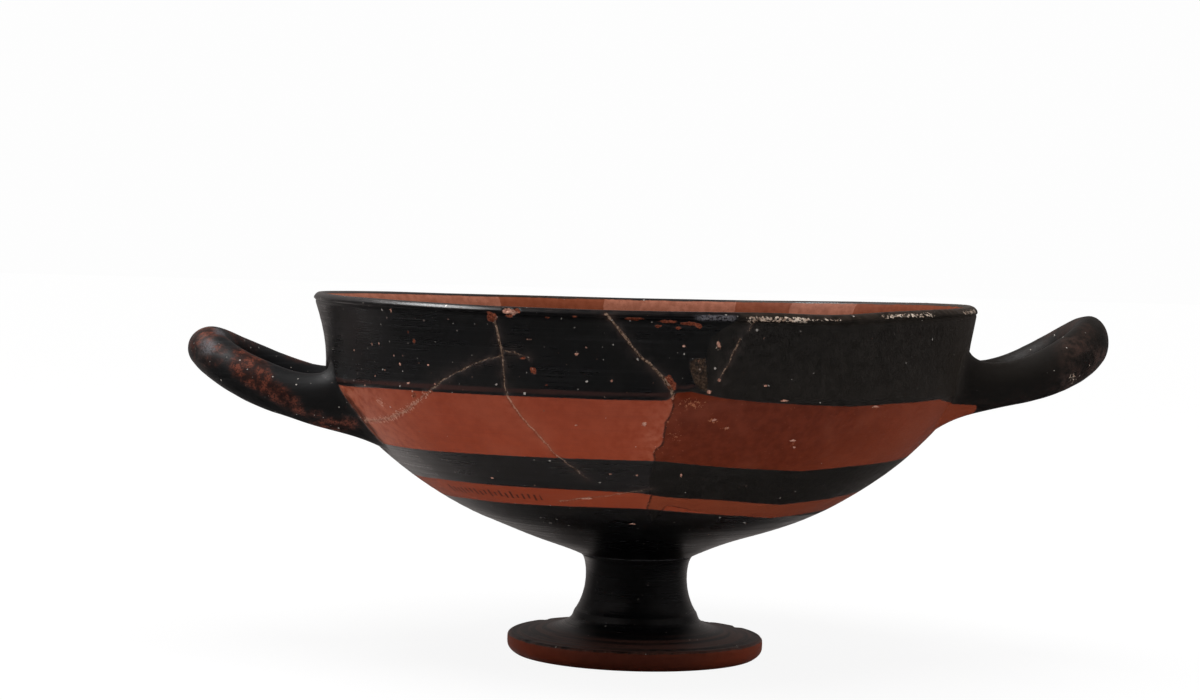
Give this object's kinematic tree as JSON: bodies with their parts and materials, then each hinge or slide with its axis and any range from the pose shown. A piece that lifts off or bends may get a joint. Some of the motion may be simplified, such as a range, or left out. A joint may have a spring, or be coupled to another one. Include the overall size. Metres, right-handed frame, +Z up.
{
  "type": "kylix cup",
  "caption": "Stemmed shallow drinking cup of fired clay with an offset lip, disc foot and upturned loop handles, black gloss with red bands, cracked and partly restored.",
  "frame": {"origin": "centre of the foot, on the plane it stands on", "axes": "+Z up along the axis of the cup, +X towards one handle, +Y away from the side shown in front"},
  "size_m": [0.2148, 0.1544, 0.0838],
  "materials": {
    "glossed_clay": "black gloss slip on red fired clay, red bands left bare, worn, cracked and partly restored"
  },
  "bodies": {
    "root": {"kylix": "glossed_clay"}
  },
  "joints": []
}
